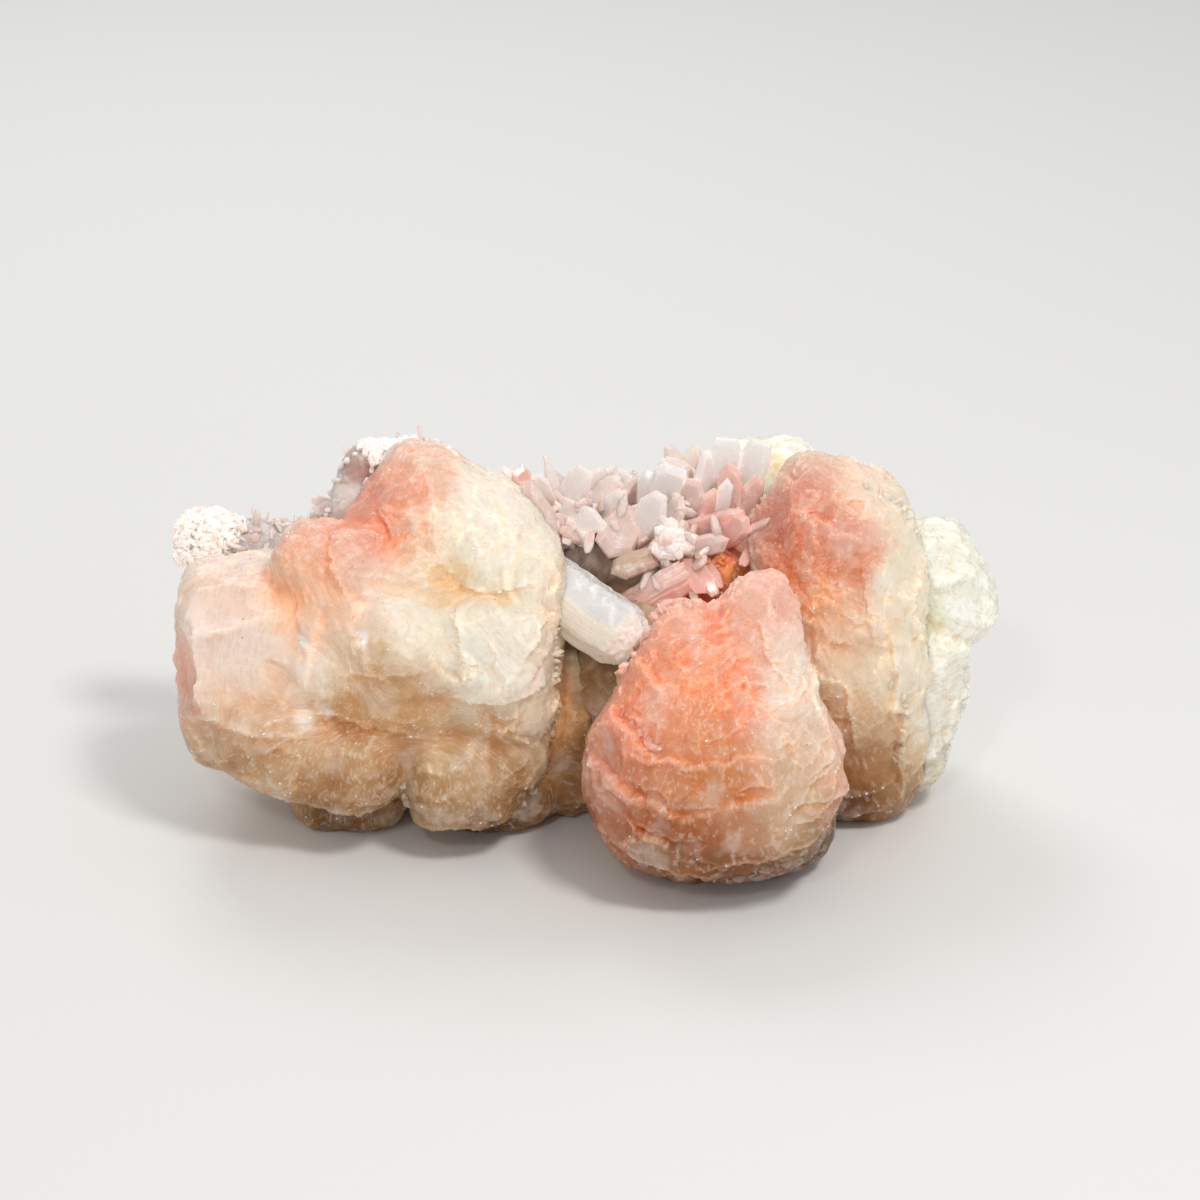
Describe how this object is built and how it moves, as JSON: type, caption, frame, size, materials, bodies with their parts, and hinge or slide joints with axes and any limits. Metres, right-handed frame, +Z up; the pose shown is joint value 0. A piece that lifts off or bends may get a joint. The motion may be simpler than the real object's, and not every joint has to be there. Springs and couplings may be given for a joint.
{
  "type": "stilbite cluster",
  "caption": "Natural stilbite specimen: rounded salmon and cream sheaves grown together, with a crust of small pale blades and a thick prism between them.",
  "frame": {"origin": "centre of the bounding box, on the surface that the cluster rests on", "axes": "+X along the cluster to the far right fan, +Y away from the show side, +Z up"},
  "size_m": [0.1444, 0.0782, 0.0651],
  "materials": {
    "left_sheaf": "pearly translucent, salmon to cream",
    "front_sheaf": "pearly translucent, salmon",
    "right_sheaf": "pearly translucent, rose to tan",
    "pale_fan": "pearly translucent, greenish white",
    "pale_sheaf": "glassy translucent, greenish white",
    "prism": "frosted glassy, white",
    "crust": "glassy small blades, pinkish white",
    "druse_knob": "sugary white druse",
    "druse": "sugary grey and white druse"
  },
  "bodies": {
    "root": {"left_sheaf_mass": "left_sheaf", "front_sheaf": "front_sheaf", "right_sheaf": "right_sheaf", "far_right_fan": "pale_fan", "back_sheaf": "pale_sheaf", "prism_crystal": "prism", "blade_crust": "crust", "left_druse_knob": "druse_knob", "top_druse": "druse"}
  },
  "joints": []
}
